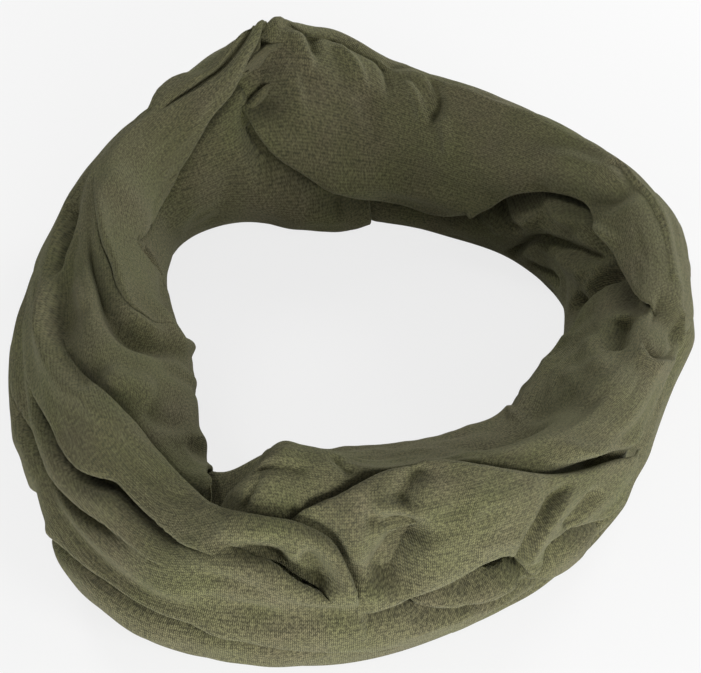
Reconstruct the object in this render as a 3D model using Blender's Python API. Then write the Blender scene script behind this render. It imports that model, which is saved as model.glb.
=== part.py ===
"""A snood: one tube of fine knitted jersey, gathered into a ring and laid down on a flat surface.

The ring lies round +Z. Angles are in degrees round it, from +X towards +Y. Girth runs over the bunched cloth
from 0 at the foot inside the neck opening, through 50 on the crown, to 100 at the foot outside.
Sizes in the tables are millimetres.
"""
import math

import bpy
import numpy as np
from mathutils import Vector
from mathutils.geometry import delaunay_2d_cdt

METRE = 0.001
WALL = 2.0           # one visible stretch of jersey, folded double
GAP = 0.3            # air between neighbours at a seam
LAP_AIR = 1.4        # air where one stretch lies over another, which the facets of both need
LAYER = WALL + LAP_AIR
FOOT_CLEAR = 1.2     # the stretches end this far above the surface, on the hidden layers
SPACING = 8.5        # between points on a stretch
BACK_SPACING = 12.0  # the same on the plain wall at the back
PER_DEGREE = 1.9     # length round the ring of one degree, at the crown
PER_GIRTH = 1.7      # length over the ring of one unit of girth

# One row per section of the ring: how far out its feet, belly, crown and outer wall stand, and how high.
SECTION_COLUMNS = ("angle", "foot_in", "inner", "inner_z", "crown", "crown_z", "outer", "outer_z", "foot_out")
SECTIONS = (
    (0, 84, 80, 16, 108, 60, 128, 30, 120),
    (20, 87, 84, 14, 111, 61, 131, 32, 122),
    (40, 89, 86, 12, 109, 57, 125, 34, 117),
    (60, 86, 82, 12, 106, 55, 123, 34, 115),
    (80, 82, 79, 10, 110, 58, 124, 34, 115),
    (95, 78, 74, 10, 119, 71, 129, 34, 118),
    (107, 84, 79, 10, 119, 80, 128, 34, 119),
    (120, 90, 84, 12, 110, 72, 127, 34, 119),
    (135, 94, 90, 14, 109, 65, 127, 34, 119),
    (150, 88, 84, 18, 106, 62, 124, 32, 118),
    (166, 76, 72, 22, 98, 60, 121, 30, 114),
    (182, 66, 60, 25, 91, 61, 124, 28, 116),
    (198, 68, 62, 27, 92, 59, 128, 26, 120),
    (213, 76, 69, 29, 95, 58, 132, 26, 123),
    (228, 88, 80, 30, 100, 56, 137, 24, 129),
    (240, 90, 82, 32, 100, 58, 139, 24, 130),
    (250, 82, 72, 34, 91, 72, 137, 24, 127),
    (265, 74, 68, 34, 90, 73, 131, 24, 124),
    (290, 74, 68, 34, 92, 74, 121, 22, 115),
    (315, 78, 70, 30, 97, 65, 120, 24, 113),
    (340, 78, 71, 20, 104, 60, 122, 26, 114),
)

# One row per fold: the stretch it shapes, or "all", three places along it, its height (a crease is below zero),
# and how wide it spreads to the left and to the right of its path.
FOLD_COLUMNS = (
    "on", "angle_1", "girth_1", "angle_2", "girth_2", "angle_3", "girth_3", "height", "left", "right",
)
FOLDS = (
    # the far side, between the high corner and the right
    ("all", 107, 47, 110, 39, 114, 26, -5, 8, 8),
    ("all", 97, 46, 97, 40, 96, 32, 2, 6, 6),
    ("all", 84, 47, 84, 41, 85, 34, 2, 6, 6),
    ("all", 14, 54, 22, 47, 32, 39, 3, 10, 10),
    ("all", 56, 17, 45, 19, 33, 24, 3, 5, 5),
    ("all", 50, 11, 38, 13, 25, 18, 3, 5, 5),
    ("all", 30, 10, 21, 17, 12, 30, -4, 6, 6),
    ("far_lower_layer", 112, 5, 101, 7, 91, 8, 3, 8, 10),
    # the left side
    ("all", 108, 47, 124, 40, 150, 32, 3, 7, 6),
    ("all", 117, 38, 119, 29, 120, 16, -3, 7, 7),
    ("all", 164, 37, 160, 30, 156, 22, -3, 6, 6),
    ("left_inner_lobe", 148, 10, 156, 9, 164, 12, 4, 9, 9),
    ("all", 166, 46, 182, 43, 190, 26, 4, 7, 7),
    ("all", 190, 45, 195, 40, 198, 31, -4, 7, 7),
    ("all", 209, 34, 202, 27, 194, 15, -3, 6, 6),
    ("all", 205, 47, 210, 40, 216, 32, 3, 10, 10),
    ("all", 150, 60, 166, 64, 184, 63, -4, 6, 6),
    ("all", 150, 71, 168, 73, 184, 75, 3, 8, 8),
    # the long folds that sweep down from the left to the near side
    ("all", 182, 77, 192, 72, 210, 69, 3, 6, 6),
    ("all", 200, 73, 215, 68, 230, 61, -5, 6, 5),
    ("all", 228, 61, 239, 62, 250, 69, -3, 6, 5),
    ("all", 200, 78, 213, 75, 230, 69, 4, 5, 7),
    ("all", 194, 84, 209, 80, 226, 75, -4, 7, 5),
    ("all", 232, 56, 246, 60, 260, 65, 3, 8, 6),
    ("all", 236, 74, 254, 77, 271, 82, -3, 6, 6),
    ("all", 256, 67, 264, 71, 271, 78, -5, 6, 7),
    ("all", 261, 63, 267, 67, 271, 77, 4, 5, 5),
    # the puffed crown on the near side
    ("near_crown", 282, 60, 296, 63, 309, 67, 4, 16, 14),
    ("all", 275, 55, 279, 62, 285, 71, -6, 9, 9),
    ("all", 300, 80, 304, 74, 313, 67, 4, 6, 6),
    ("all", 305, 78, 311, 76, 318, 74, -3, 7, 7),
    ("all", 248, 56, 251, 58, 254, 60, -3, 5, 5),
    ("all", 274, 86, 292, 87, 318, 83, -3, 5, 5),
    ("all", 276, 82, 290, 83, 306, 82, 3, 5, 5),
    ("all", 224, 90, 246, 91, 270, 93, 2, 7, 7),
    # the right side
    ("all", 354, 42, 349, 40, 344, 46, -3, 9, 9),
    ("all", 341, 52, 342, 62, 347, 73, -4, 6, 6),
    ("all", 314, 56, 323, 63, 334, 69, 3, 6, 6),
    # the back, which the crown hides
    ("all", 104, 62, 74, 69, 38, 64, -4, 8, 8),
    ("all", 146, 78, 108, 84, 62, 80, -3, 8, 8),
    ("all", 12, 66, 40, 75, 70, 86, -3, 8, 8),
    ("all", 120, 70, 92, 76, 60, 72, 3, 9, 9),
)

# Edges that two stretches share, or where one laps over another: (angle, girth) along each.
EDGES = {
    "band_edge": (
        (114, 30), (104, 23), (90, 19), (75, 14), (61, 17), (47, 25), (38, 32), (28, 37), (15, 41), (4, 43), (-6, 48),
    ),
    "band_end": ((-6, 48), (-9, 58), (-6, 70), (-2, 84)),
    "diagonal": ((106, 47), (113, 43), (125, 37), (140, 29), (156, 30)),
    "rim_line": ((106, 50), (123, 47), (140, 50), (157, 53), (170, 50), (187, 52), (200, 55), (211, 58)),
    "long_edge": (
        (184, 67), (200, 62), (211, 58), (223, 53), (234, 53), (244, 57), (253, 61), (260, 62), (265, 66), (269, 72),
        (272, 79),
    ),
    "crown_ridge": ((253, 61), (258, 59), (264, 56), (272, 51), (279, 48), (289, 48), (299, 53), (312, 54)),
    "right_end": ((304, 6), (304, 40), (312, 54), (318, 62), (325, 67), (333, 69), (340, 78)),
    "crown_edge": ((272, 79), (278, 79), (284, 77), (292, 74), (299, 73), (308, 75), (325, 79), (334, 80)),
    "fold_line": (
        (184, 90), (200, 90), (212, 87), (226, 83), (240, 82), (254, 84), (272, 85), (281, 89), (292, 94), (300, 98),
    ),
}

# One row per stretch: its layer, counted up from the hidden layers, and its outline. The outline is a list of runs:
# an edge's name with the first and last angle taken from it, or a run of (angle, girth) places of its own.
PANEL_COLUMNS = ("name", "layer", "outline")
PANELS = (
    ("far_lower_layer", 0, (
        ((117, 2), (117, 36)), ((117, 36), (104, 30), (87, 25)), ((87, 25), (87, 2)), ((87, 2), (117, 2)),
    )),
    ("far_right_inner", 0, (
        ((87, 2), (87, 24)), ((87, 24), (75, 20), (61, 23), (47, 31), (30, 43), (14, 47), (-6, 52)),
        ((-6, 52), (-8, 2)), ((-8, 2), (87, 2)),
    )),
    ("left_inner_panel", 0, (
        ((157, 2), (157, 34)), ((157, 34), (140, 34), (125, 42), (112, 46)), ((112, 46), (117, 36), (117, 2)),
        ((117, 2), (157, 2)),
    )),
    ("left_inner_lobe", -0.25, (
        ((245, 2), (246, 60)), ((246, 60), (234, 56), (223, 56), (211, 61), (196, 58), (187, 55), (170, 53), (157, 55)),
        ((157, 55), (157, 2)), ((157, 2), (245, 2)),
    )),
    ("near_left_hump", -0.35, (
        ((273, 2), (273, 54)), ((273, 54), (264, 59), (253, 63), (246, 60)), ((246, 60), (245, 2)), ((245, 2), (273, 2)),
    )),
    ("near_back_ridge", 0, (
        ((322, 2), (322, 58)), ((322, 58), (299, 57), (289, 52), (279, 52), (273, 55)), ((273, 55), (273, 2)),
        ((273, 2), (322, 2)),
    )),
    ("under_fold", -0.35, (
        ((212, 98), (212, 83)), ((212, 83), (226, 79), (240, 78), (254, 80), (272, 81), (292, 88), (306, 91)),
        ((306, 91), (306, 98)), ((306, 98), (212, 98)),
    )),
    ("outer_back", 0, (
        ((212, 98), (-54, 98)), ((-54, 98), (-54, 91), (-46, 82), (-30, 80)), ((-30, 80), (212, 80)),
        ((212, 80), (212, 98)),
    )),
    ("far_band", 1, (
        ("band_edge", 114, -6), ("band_end", 48, 84), ((-2, 84), (106, 84)), ((106, 84), (106, 50)),
        ((106, 50), (106, 47)), ((106, 47), (114, 30)),
    )),
    ("left_upper_band", 1, (
        ("diagonal", 106, 156), ((156, 30), (158, 40), (157, 53)), ("rim_line", 157, 106), ((106, 50), (106, 47)),
    )),
    ("left_outer_band", 1, (
        ("rim_line", 106, 211), ("long_edge", 211, 184), ((184, 67), (184, 84)), ((184, 84), (106, 84)),
        ((106, 84), (106, 50)),
    )),
    ("left_long_folds", 1, (
        ("long_edge", 184, 272), ((272, 79), (272, 85)), ("fold_line", 272, 184), ((184, 90), (184, 67)),
    )),
    ("right_inner_band", 1, (
        ((-3, 6), (-1, 18), (0, 30), (-1, 42), (-6, 48)), ("band_end", 48, 84), ((-2, 84), (-10, 88), (-19, 86)),
        ((-19, 86), (-20, 78)), ("right_end", 340, 304), ((-56, 6), (-3, 6)),
    )),
    ("lower_right_folds", 0.85, (
        ((272, 85), (272, 79)), ((272, 79), (274, 75), (284, 72), (299, 69), (308, 71), (318, 75), (333, 77)),
        ((333, 77), (338, 82), (338, 98)), ((338, 98), (300, 98)), ("fold_line", 300, 272),
    )),
    ("near_crown", 2.1, (
        ("crown_ridge", 253, 312), ("right_end", 312, 333), ((333, 69), (336, 75), (334, 80)), ("crown_edge", 334, 272),
        ("long_edge", 272, 253),
    )),
)

JERSEY_OLIVE = (0.10, 0.096, 0.048, 1.0)
JERSEY_DEEP = (0.07, 0.068, 0.036, 1.0)

KNOTS = np.array((0.0, 15.0, 33.0, 50.0, 67.0, 85.0, 100.0))
TABLE = np.array(SECTIONS, float)


def round_the_ring(angle, column):
    """A section size at any angle: a smooth curve through the table that closes on itself."""
    count = len(TABLE)
    angle = np.asarray(angle, float) % 360.0
    first = np.searchsorted(TABLE[:, 0], angle, side="right") - 1

    def row(index):
        return TABLE[index % count, 0] + 360.0 * (index // count), TABLE[index % count, column]

    (a0, v0), (a1, v1), (a2, v2), (a3, v3) = (row(first + step) for step in (-1, 0, 1, 2))
    slope_1 = ((v2 - v1) / (a2 - a1) * (a1 - a0) + (v1 - v0) / (a1 - a0) * (a2 - a1)) / (a2 - a0)
    slope_2 = ((v3 - v2) / (a3 - a2) * (a2 - a1) + (v2 - v1) / (a2 - a1) * (a3 - a2)) / (a3 - a1)
    return between(v1, v2, slope_1 * (a2 - a1), slope_2 * (a2 - a1), (angle - a1) / (a2 - a1))


def between(start, end, slope_start, slope_end, t):
    """Hermite curve from start to end."""
    return (
        (2 * t**3 - 3 * t**2 + 1) * start
        + (t**3 - 2 * t**2 + t) * slope_start
        + (3 * t**2 - 2 * t**3) * end
        + (t**3 - t**2) * slope_end
    )


def smooth_ring(angle, girth):
    """Points on the bunched ring before its folds, in millimetres."""
    angle = np.asarray(angle, float)
    girth = np.clip(np.asarray(girth, float), 0.0, 100.0)
    size = {name: round_the_ring(angle, k) for k, name in enumerate(SECTION_COLUMNS)}
    out = np.stack((
        size["foot_in"],
        size["inner"],
        size["inner"] * 0.58 + size["crown"] * 0.42 - 2,
        size["crown"],
        size["outer"] * 0.58 + size["crown"] * 0.42 + 2,
        size["outer"],
        size["foot_out"],
    ))
    up = np.stack((
        size["inner_z"] * 0,
        size["inner_z"],
        size["inner_z"] * 0.4 + size["crown_z"] * 0.6 + 3,
        size["crown_z"],
        size["outer_z"] * 0.4 + size["crown_z"] * 0.6 + 4,
        size["outer_z"],
        size["outer_z"] * 0,
    ))
    span = np.clip(np.searchsorted(KNOTS, girth, side="right") - 1, 0, len(KNOTS) - 2)
    width = KNOTS[span + 1] - KNOTS[span]
    t = (girth - KNOTS[span]) / width
    index = np.arange(len(girth))

    def along(values):
        slopes = np.gradient(values, KNOTS, axis=0)
        slopes[0] = slopes[0] * 0.35
        slopes[-1] = slopes[-1] * 0.35
        return between(
            values[span, index], values[span + 1, index], slopes[span, index] * width, slopes[span + 1, index] * width, t
        )

    radius = along(out)
    turn = np.radians(angle)
    return np.stack((radius * np.cos(turn), radius * np.sin(turn), along(up)), axis=-1)


def outward(angle, girth):
    """Unit normals of the smooth ring."""
    step = 0.5
    girth = np.clip(girth, step, 100.0 - step)
    round_way = smooth_ring(angle + step, girth) - smooth_ring(angle - step, girth)
    over_way = smooth_ring(angle, girth + step) - smooth_ring(angle, girth - step)
    normal = np.cross(over_way, round_way)
    return normal / np.linalg.norm(normal, axis=-1, keepdims=True)


def fold_height(angle, girth, stretch, widen=1.0):
    """How far the folds lift or sink the cloth, in millimetres."""
    total = np.zeros(len(angle))
    for row in FOLDS:
        fold = dict(zip(FOLD_COLUMNS, row))
        if fold["on"] not in ("all", stretch):
            continue
        t = np.linspace(0.0, 1.0, 25)
        weights = np.stack(((2 * t - 1) * (t - 1), 4 * t * (1 - t), t * (2 * t - 1)), axis=-1)
        path_x = weights @ np.array((fold["angle_1"], fold["angle_2"], fold["angle_3"])) * PER_DEGREE
        path_y = weights @ np.array((fold["girth_1"], fold["girth_2"], fold["girth_3"])) * PER_GIRTH
        turned = (angle - fold["angle_2"] + 180.0) % 360.0 - 180.0 + fold["angle_2"]
        from_x = turned[:, None] * PER_DEGREE - path_x[None, :]
        from_y = girth[:, None] * PER_GIRTH - path_y[None, :]
        nearest = np.argmin(from_x**2 + from_y**2, axis=1)
        index = np.arange(len(angle))
        gap_x = from_x[index, nearest]
        gap_y = from_y[index, nearest]
        way_x = np.gradient(path_x)[nearest]
        way_y = np.gradient(path_y)[nearest]
        on_left = way_x * gap_y - way_y * gap_x > 0
        spread = np.where(on_left, fold["left"], fold["right"]) * widen
        fade = np.clip(np.sin(np.pi * np.clip(t[nearest], 0.02, 0.98)) * 1.8, 0.0, 1.0)
        total += fold["height"] * fade * np.exp(-(gap_x**2 + gap_y**2) / spread**2)
    return total


def cloth_points(angle, girth, stretch, lift):
    """Points on a stretch of cloth that lies lift above the top of the first lapping layer."""
    angle = np.asarray(angle, float)
    girth = np.asarray(girth, float)
    rise = lift + fold_height(angle, girth, stretch)
    points = smooth_ring(angle, girth) + outward(angle, girth) * rise[:, None]
    points[:, 2] = np.maximum(points[:, 2], 0.0)
    return points


def smooth_run(places, spacing, first=0, last=None):
    """A smooth run of points, a spacing apart, through a few places on the flat plan of the cloth."""
    flat = np.array(places, float) * (PER_DEGREE, PER_GIRTH)
    padded = np.concatenate((2 * flat[:1] - flat[1:2], flat, 2 * flat[-1:] - flat[-2:-1]))
    last = len(places) - 1 if last is None else last
    run = []
    for k in range(1 + first, 1 + last):
        before, start, end, after = padded[k - 1 : k + 3]
        steps = max(1, round(np.linalg.norm(end - start) / spacing))
        for t in np.arange(steps)[:, None] / steps:
            run.append(between(start, end, (end - before) / 2, (after - start) / 2, t))
    run.append(flat[last])
    return run


def run_of(entry, spacing):
    """The points of one run of an outline. A named edge is smoothed whole, so that both its sides match."""
    if not isinstance(entry[0], str):
        return smooth_run(entry, spacing)
    name, first, last = entry
    edge = EDGES[name]
    column = 1 if name == "band_end" else 0
    ends = [k for k, place in enumerate(edge) for wanted in (first, last) if place[column] == wanted]
    points = smooth_run(edge, spacing, min(ends), max(ends))
    return points if (edge[min(ends)][column] == first) else points[::-1]


def outline_of(entries, spacing):
    """The closed outline of a stretch on the flat plan, drawn in by half of a gap."""
    turn = 360 * PER_DEGREE
    loop = []
    for entry in entries:
        run = run_of(entry, spacing)
        shift = round((loop[-1][0] - run[0][0]) / turn) * turn if loop else 0.0
        loop += [point + (shift, 0.0) for point in run]
    kept = [point for k, point in enumerate(loop) if np.linalg.norm(point - loop[k - 1]) > 0.8]
    loop = np.array(kept)
    ahead = np.roll(loop, -1, axis=0)
    behind = np.roll(loop, 1, axis=0)
    area = np.sum(loop[:, 0] * ahead[:, 1] - ahead[:, 0] * loop[:, 1])
    if area < 0:
        loop, ahead, behind = loop[::-1], behind[::-1], ahead[::-1]
    way_in = ahead - loop
    way_in = way_in / np.linalg.norm(way_in, axis=1, keepdims=True)
    way_out = loop - behind
    way_out = way_out / np.linalg.norm(way_out, axis=1, keepdims=True)
    mean = way_in + way_out
    mean = mean / np.maximum(np.linalg.norm(mean, axis=1, keepdims=True), 0.3)
    return loop + np.stack((-mean[:, 1], mean[:, 0]), axis=-1) * (GAP * 0.6)


def inside(points, loop, spacing):
    """Which points lie inside the loop, at least half of a spacing from it."""
    ahead = np.roll(loop, -1, axis=0)
    x, y = points[:, 0:1], points[:, 1:2]
    crosses = (loop[:, 1] > y) != (ahead[:, 1] > y)
    rise = np.where(np.abs(ahead[:, 1] - loop[:, 1]) < 1e-9, 1e-9, ahead[:, 1] - loop[:, 1])
    at_x = loop[:, 0] + (y - loop[:, 1]) / rise * (ahead[:, 0] - loop[:, 0])
    within = np.sum(crosses & (x < at_x), axis=1) % 2 == 1
    near = np.min(np.hypot(x - loop[:, 0], y - loop[:, 1]), axis=1)
    return within & (near > spacing * 0.55)


def flat_plan(outline, spacing):
    """Points and triangles of a stretch on the flat plan."""
    loop = outline_of(outline, spacing)
    low, high = loop.min(axis=0), loop.max(axis=0)
    grid_x = np.arange(math.ceil(low[0] / spacing), math.floor(high[0] / spacing) + 1) * spacing
    grid_y = np.arange(math.ceil(low[1] / spacing), math.floor(high[1] / spacing) + 1) * spacing
    mesh_x, mesh_y = np.meshgrid(grid_x, grid_y, indexing="ij")
    grid = np.stack((mesh_x.ravel(), mesh_y.ravel()), axis=-1)
    grid = grid[inside(grid, loop, spacing)]
    places = [Vector(point) for point in np.concatenate((loop, grid))]
    corners, _, faces, _, _, _ = delaunay_2d_cdt(places, [], [list(range(len(loop)))], 1, 1e-4)
    return np.array([tuple(corner) for corner in corners]), faces


def new_object(name, points, faces, colour, home):
    mesh = bpy.data.meshes.new(name)
    mesh.from_pydata([tuple(point * METRE) for point in points], [], faces)
    mesh.validate()
    mesh.update()
    made = bpy.data.objects.new(name, mesh)
    home.objects.link(made)
    material = bpy.data.materials.new(name)
    material.use_nodes = True
    shader = material.node_tree.nodes["Principled BSDF"]
    shader.inputs["Base Color"].default_value = colour
    shader.inputs["Roughness"].default_value = 0.9
    mesh.materials.append(material)
    material.diffuse_color = colour
    return made


def make_stretch(name, layer, outline, home):
    """One visible stretch. Both its faces are offset from the same ring, so that the walls stay parallel at a seam."""
    plan, faces = flat_plan(outline, BACK_SPACING if name == "outer_back" else SPACING)
    angle = plan[:, 0] / PER_DEGREE
    girth = plan[:, 1] / PER_GIRTH
    count = len(plan)
    top = cloth_points(angle, girth, name, (layer - 1) * LAYER)
    under = cloth_points(angle, girth, name, (layer - 1) * LAYER - WALL)
    points = np.concatenate((top, under))
    points[:, 2] = np.maximum(points[:, 2], FOOT_CLEAR)
    used = {}
    for face in faces:
        for k, corner in enumerate(face):
            used[(corner, face[k - 1])] = True
    rim = [pair for pair in used if (pair[1], pair[0]) not in used]
    shell = [tuple(reversed(face)) for face in faces]
    shell += [tuple(corner + count for corner in face) for face in faces]
    shell += [(b, a, a + count, b + count) for a, b in rim]
    return new_object(name, points, shell, JERSEY_OLIVE, home)


def make_hidden_layers(home):
    """The folded layers that fill the ring: one rounded solid with a flat underside."""
    sink = LAYER + WALL + 3.2
    around = np.arange(0, 360, 6.0)
    over = np.array((3, 12, 22, 32, 41, 50, 59, 68, 78, 88, 97.0))
    rings = []
    for girth in over:
        at = np.full_like(around, girth)
        creased = np.minimum(fold_height(around, at, "all", widen=1.5), 0.0)
        rings.append(smooth_ring(around, at) + outward(around, at) * (creased - sink)[:, None])
    for k, mate in ((0, 1), (-1, -2)):
        foot = rings[k].copy()
        foot[:, 2] = 0.0
        rings[k][:, 2] = 3.0
        if k == 0:
            rings.insert(0, foot)
        else:
            rings.append(foot)
    points = np.concatenate(rings)
    count = len(around)
    faces = []
    for ring in range(len(rings)):
        upper = (ring + 1) % len(rings)
        for k in range(count):
            ahead = (k + 1) % count
            faces.append((ring * count + k, upper * count + k, upper * count + ahead, ring * count + ahead))
    return new_object("hidden_layers", points, faces, JERSEY_DEEP, home)


def main():
    for old in list(bpy.data.objects):
        bpy.data.objects.remove(old)
    home = bpy.data.collections.new("snood")
    bpy.context.scene.collection.children.link(home)
    make_hidden_layers(home)
    for name, layer, outline in PANELS:
        make_stretch(name, layer, outline, home)
    bpy.context.view_layer.update()
    low = np.full(3, np.inf)
    high = np.full(3, -np.inf)
    for made in home.objects:
        corners = np.array([tuple(vertex.co) for vertex in made.data.vertices])
        low = np.minimum(low, corners.min(axis=0))
        high = np.maximum(high, corners.max(axis=0))
    middle = Vector(((low[0] + high[0]) / 2, (low[1] + high[1]) / 2, 0.0))
    for made in home.objects:
        for vertex in made.data.vertices:
            vertex.co -= middle
        made.data.update()


main()
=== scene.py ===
"""A snood of fine knitted jersey, bunched into a ring and laid down: its cloth, folds, knit and colour.

The ring lies round +Z. Angles are in degrees round it, from +X towards +Y. Girth runs over the bunched cloth
from 0 at the foot inside the neck opening, through 50 on the crown, to 100 at the foot outside.
Together they are the plan of the cloth, laid flat. Sizes in the tables are millimetres.
"""
import math

import bpy
import numpy as np
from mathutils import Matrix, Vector
from mathutils.geometry import delaunay_2d_cdt


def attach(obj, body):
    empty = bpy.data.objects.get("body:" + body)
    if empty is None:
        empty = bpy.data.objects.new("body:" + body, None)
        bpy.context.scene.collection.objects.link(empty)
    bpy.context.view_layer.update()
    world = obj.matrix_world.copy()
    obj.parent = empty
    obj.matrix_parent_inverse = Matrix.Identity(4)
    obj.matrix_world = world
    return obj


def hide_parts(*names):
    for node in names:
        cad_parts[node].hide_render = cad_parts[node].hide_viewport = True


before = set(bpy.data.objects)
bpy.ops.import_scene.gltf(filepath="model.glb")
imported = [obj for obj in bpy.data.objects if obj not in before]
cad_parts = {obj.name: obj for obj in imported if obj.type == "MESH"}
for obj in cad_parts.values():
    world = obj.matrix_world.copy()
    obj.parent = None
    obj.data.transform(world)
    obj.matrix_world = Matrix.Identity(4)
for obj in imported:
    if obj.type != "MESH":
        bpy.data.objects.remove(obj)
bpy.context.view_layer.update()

METRE = 0.001
RING_MIDDLE = np.array((2.28, 0.22, 0.0))  # where the origin lies in the ring's own sizes
PER_DEGREE = 1.9         # length round the ring of one degree, at the crown
PER_GIRTH = 1.7          # length over the ring of one unit of girth
WHOLE_TURN = 360 * PER_DEGREE
SPACING = 1.4            # between points on the cloth
CLOTH = 0.8              # thickness of the jersey
LOWEST = CLOTH + 0.2     # the outer face of the cloth comes no nearer to the surface it lies on
CORE_FOOT = 1.2          # height of the inmost layers' foot
SHOULDER_OUT = 0.58      # a shoulder's share of the way out from the crown to the wall
SHOULDER_DOWN = 0.4      # and its share of the way down
SHOULDER_SWELL = 2.0     # how far it stands out beyond that
INNER_RISE = 3.0         # how far the inner shoulder stands up beyond that
OUTER_RISE = 4.0         # and the outer shoulder
END_EASE = 0.35          # how much of their slope the feet keep
MOST_ROLL = 2.4          # how far a folded edge turns under, in radians
SEEN_SHARE = MOST_ROLL - 1.0  # from a folded edge as seen to where its cloth is cut, in radii
SMALLEST_ROLL = 0.02     # radius of a folded edge where it has died away
FOLD_STEP = 3.0          # between the points of a fold's path
LAP_STEP = 1.5           # and of a lap's
ON_LINE = 0.02           # what is nearer than this to a path lies on it
SAME_PLACE = 0.01        # points nearer than this are one, where a slit is cut open
TOO_CLOSE = 0.3          # points of an outline nearer than this are one
ROW_SPACING = 0.88 * SPACING  # between rows of points
EDGE_SPACING = 0.5 * SPACING  # between an edge and the points within
OUT_OF_REACH = 1000.0    # a distance at which no edge is felt
HIDDEN_SINK = 4.0        # cloth under another layer lies this much lower again
UNDER_REACH = 3.0        # how far under a lap its sink is felt, in its reaches
UNDER_EASE = 5.0         # from a lap's edge to where the cloth under it has its full sink
HIDDEN_EASE = 6.0        # and to where it has its whole hidden sink
FOOT_EASE_IN = 12.0      # girth over which the folds grow from the inner foot
FOOT_EASE_OUT = 10.0     # and from the outer foot
CORE_SINK = 12.0         # the inmost layers lie this far under the cloth that shows
CORE_ANGLES = np.arange(0, 360, 4.0)
CORE_GIRTHS = np.linspace(2.0, 98.0, 33)
BROAD = 9                # a fold that spreads this far is a broad swell
TROUGH_SHIFT = 0.15      # the depth of a trough that counts for where it is seen, in its widths
LEAST_FACING = 0.4       # cloth that faces the eye less than this is taken to face it this much
FOLD_REACH = 3.2         # how far a fold is felt, in its spreads
GUTTER_PLACE = 1.5       # how far beside a leaning fold its gutter lies, in its spreads
GUTTER_DEPTH = 0.9       # and how deep it is, in its heights
WAVES = 40               # waves added up in each set of random ripples
SOFT_WRINKLE = 0.3       # height of the slow unevenness of the cloth
FINE_WRINKLE = 0.24      # height of the finer wrinkles, which lie in patches
CAMERA_LIFT = math.radians(52.0)
VIEW_WAY = np.array((0.0, -math.cos(CAMERA_LIFT), math.sin(CAMERA_LIFT)))  # towards the eye

# One row per section of the ring: how far out its feet, belly, crown and outer wall stand, and how high.
SECTION_COLUMNS = ("angle", "foot_in", "inner", "inner_z", "crown", "crown_z", "outer", "outer_z", "foot_out")
SECTIONS = (
    (0, 84, 79, 16, 108, 60, 129, 30, 121),
    (20, 91.5, 87.5, 14, 111, 61, 132.5, 32, 123),
    (40, 89, 86, 12, 109, 57, 125, 34, 117),
    (60, 82.5, 78.5, 12, 106, 55, 123, 34, 115),
    (80, 80, 78, 10, 110, 58, 124, 34, 115),
    (95, 75, 72, 10, 119, 71, 129, 34, 118),
    (107, 80, 76, 10, 119, 80, 128, 34, 119),
    (120, 92, 86, 12, 110, 72, 127, 34, 119),
    (135, 97, 92, 14, 109, 64, 126.5, 34, 119),
    (150, 89, 83, 18, 106, 62, 124, 32, 118),
    (166, 74, 70, 22, 98, 60, 122.5, 30, 115),
    (182, 68, 62, 25, 91, 61, 124, 28, 116),
    (198, 66.5, 60.5, 27, 92, 59, 127, 26, 119),
    (213, 74.5, 67.5, 29, 95, 58, 132, 26, 123),
    (228, 87, 79, 30, 100, 56, 136, 24, 128),
    (240, 91, 83, 32, 100, 58, 137.8, 24, 129),
    (250, 83, 73, 34, 91, 72, 136, 24, 127),
    (265, 74, 68, 34, 90, 73, 131, 24, 124),
    (290, 74, 68, 34, 92, 74, 122, 22, 116),
    (315, 78, 70, 30, 97, 65, 121, 24, 114),
    (340, 75, 67, 20, 104, 60, 122, 26, 114),
)
KNOTS = np.array((0.0, 15.0, 33.0, 50.0, 67.0, 85.0, 100.0))
TABLE = np.array(SECTIONS, float)


def between(start, end, slope_start, slope_end, t):
    """Hermite curve from start to end."""
    return (
        (2 * t**3 - 3 * t**2 + 1) * start
        + (t**3 - 2 * t**2 + t) * slope_start
        + (3 * t**2 - 2 * t**3) * end
        + (t**3 - t**2) * slope_end
    )


def ease(t):
    """0 below 0, 1 above 1, and a smooth rise between."""
    t = np.clip(t, 0.0, 1.0)
    return t * t * (3 - 2 * t)


# ---- the ring before its folds


def round_the_ring(angle, column):
    """A section size at any angle: a smooth curve through the table that closes on itself."""
    count = len(TABLE)
    angle = np.asarray(angle, float) % 360.0
    first = np.searchsorted(TABLE[:, 0], angle, side="right") - 1

    def row(index):
        return TABLE[index % count, 0] + 360.0 * (index // count), TABLE[index % count, column]

    (a0, v0), (a1, v1), (a2, v2), (a3, v3) = (row(first + step) for step in (-1, 0, 1, 2))
    slope_1 = ((v2 - v1) / (a2 - a1) * (a1 - a0) + (v1 - v0) / (a1 - a0) * (a2 - a1)) / (a2 - a0)
    slope_2 = ((v3 - v2) / (a3 - a2) * (a2 - a1) + (v2 - v1) / (a2 - a1) * (a3 - a2)) / (a3 - a1)
    return between(v1, v2, slope_1 * (a2 - a1), slope_2 * (a2 - a1), (angle - a1) / (a2 - a1))


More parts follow.
